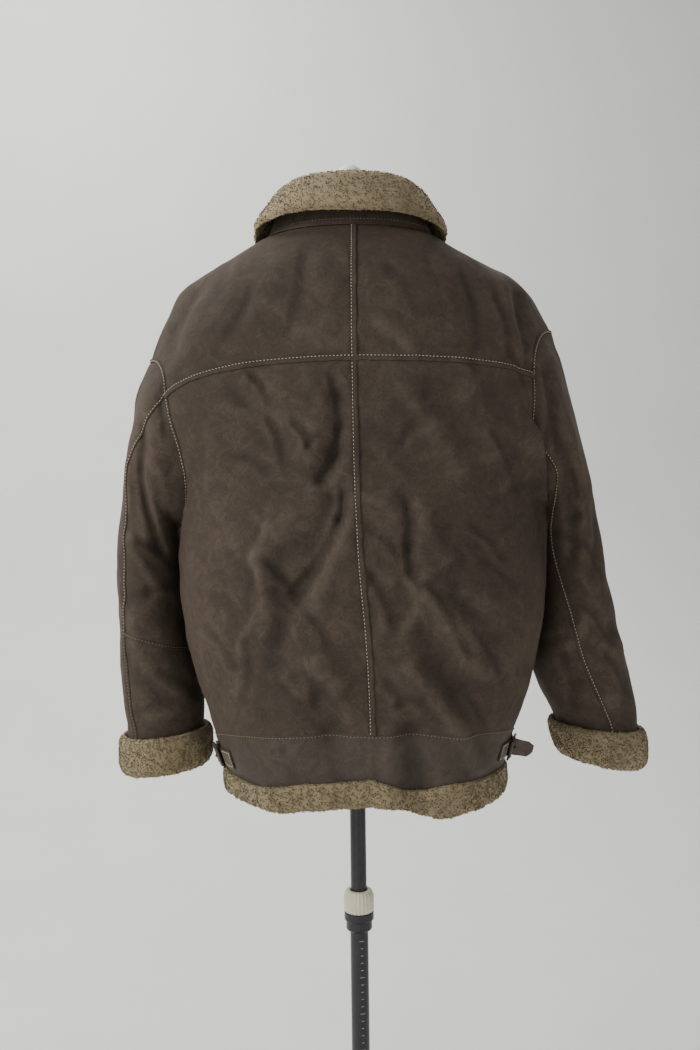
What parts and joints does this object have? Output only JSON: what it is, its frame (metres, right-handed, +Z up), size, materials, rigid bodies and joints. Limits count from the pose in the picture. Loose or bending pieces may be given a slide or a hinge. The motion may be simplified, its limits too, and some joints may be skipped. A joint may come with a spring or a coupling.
{
  "type": "suede bomber jacket on a limbless dress form with its pole stand",
  "caption": "Waist-length suede bomber jacket with pile collar, cuffs and hem trim, zipped closed on a limbless dress form with a telescopic pole stand.",
  "frame": {"origin": "on the floor under the stand's tube", "axes": "+Z up, -Y towards the garment's front, +X towards the wearer's left"},
  "size_m": [0.7462, 0.3484, 1.6008],
  "materials": {
    "suede": "brown suede, napped",
    "band_suede": "brown suede, slightly shinier",
    "pile": "short curly beige pile",
    "stand_leather": "brown suede",
    "strap_leather": "brown leather",
    "buckle_metal": "dark metal",
    "zip_tape": "woven tape",
    "zip_metal": "antique brass",
    "form_cloth": "plain linen cover",
    "cap_paint": "cream paint",
    "tube_paint": "dark satin paint",
    "ring_plastic": "cream plastic, fluted",
    "base_paint": "dark satin paint"
  },
  "bodies": {
    "stand": {"base": "base_paint", "pole_lower": "tube_paint", "clamp_ferrule": "tube_paint"},
    "upper": {"adjuster_strap_left": "strap_leather", "adjuster_strap_right": "strap_leather", "adjuster_tab_left": "strap_leather", "adjuster_tab_right": "strap_leather", "back_left": "suede", "back_right": "suede", "back_yoke_left": "suede", "back_yoke_right": "suede", "buckle_left": "buckle_metal", "buckle_right": "buckle_metal", "collar_pile": "pile", "collar_stand": "stand_leather", "cuff_pile_left": "pile", "cuff_pile_right": "pile", "form_torso": "form_cloth", "front_left": "suede", "front_right": "suede", "hem_band_back": "band_suede", "hem_band_front_left": "band_suede", "hem_band_front_right": "band_suede", "hem_pile": "pile", "neck_cap": "cap_paint", "pole_upper": "tube_paint", "sleeve_left_top": "suede", "sleeve_left_under_lower": "suede", "sleeve_left_under_upper": "suede", "sleeve_right_top": "suede", "sleeve_right_under": "suede", "zip_slider": "zip_metal", "zip_tape": "zip_tape"},
    "clamp": {"clamp_ring": "ring_plastic"},
    "zip_pull": {"zip_pull": "zip_metal"}
  },
  "joints": [
    {"name": "height_slide", "type": "slide", "parent": "stand", "child": "upper", "axis": [0, 0, 1], "range_m": [-0.15, 0.15]},
    {"name": "clamp_turn", "type": "hinge", "parent": "stand", "child": "clamp", "pos_m": [0, 0, 0.578], "axis": [0, 0, 1], "range_deg": [0, 90]},
    {"name": "zip_pull_hinge", "type": "hinge", "parent": "upper", "child": "zip_pull", "pos_m": [0, -0.13039, 1.35089], "axis": [-1, 0, 0], "range_deg": [0, 110]}
  ]
}
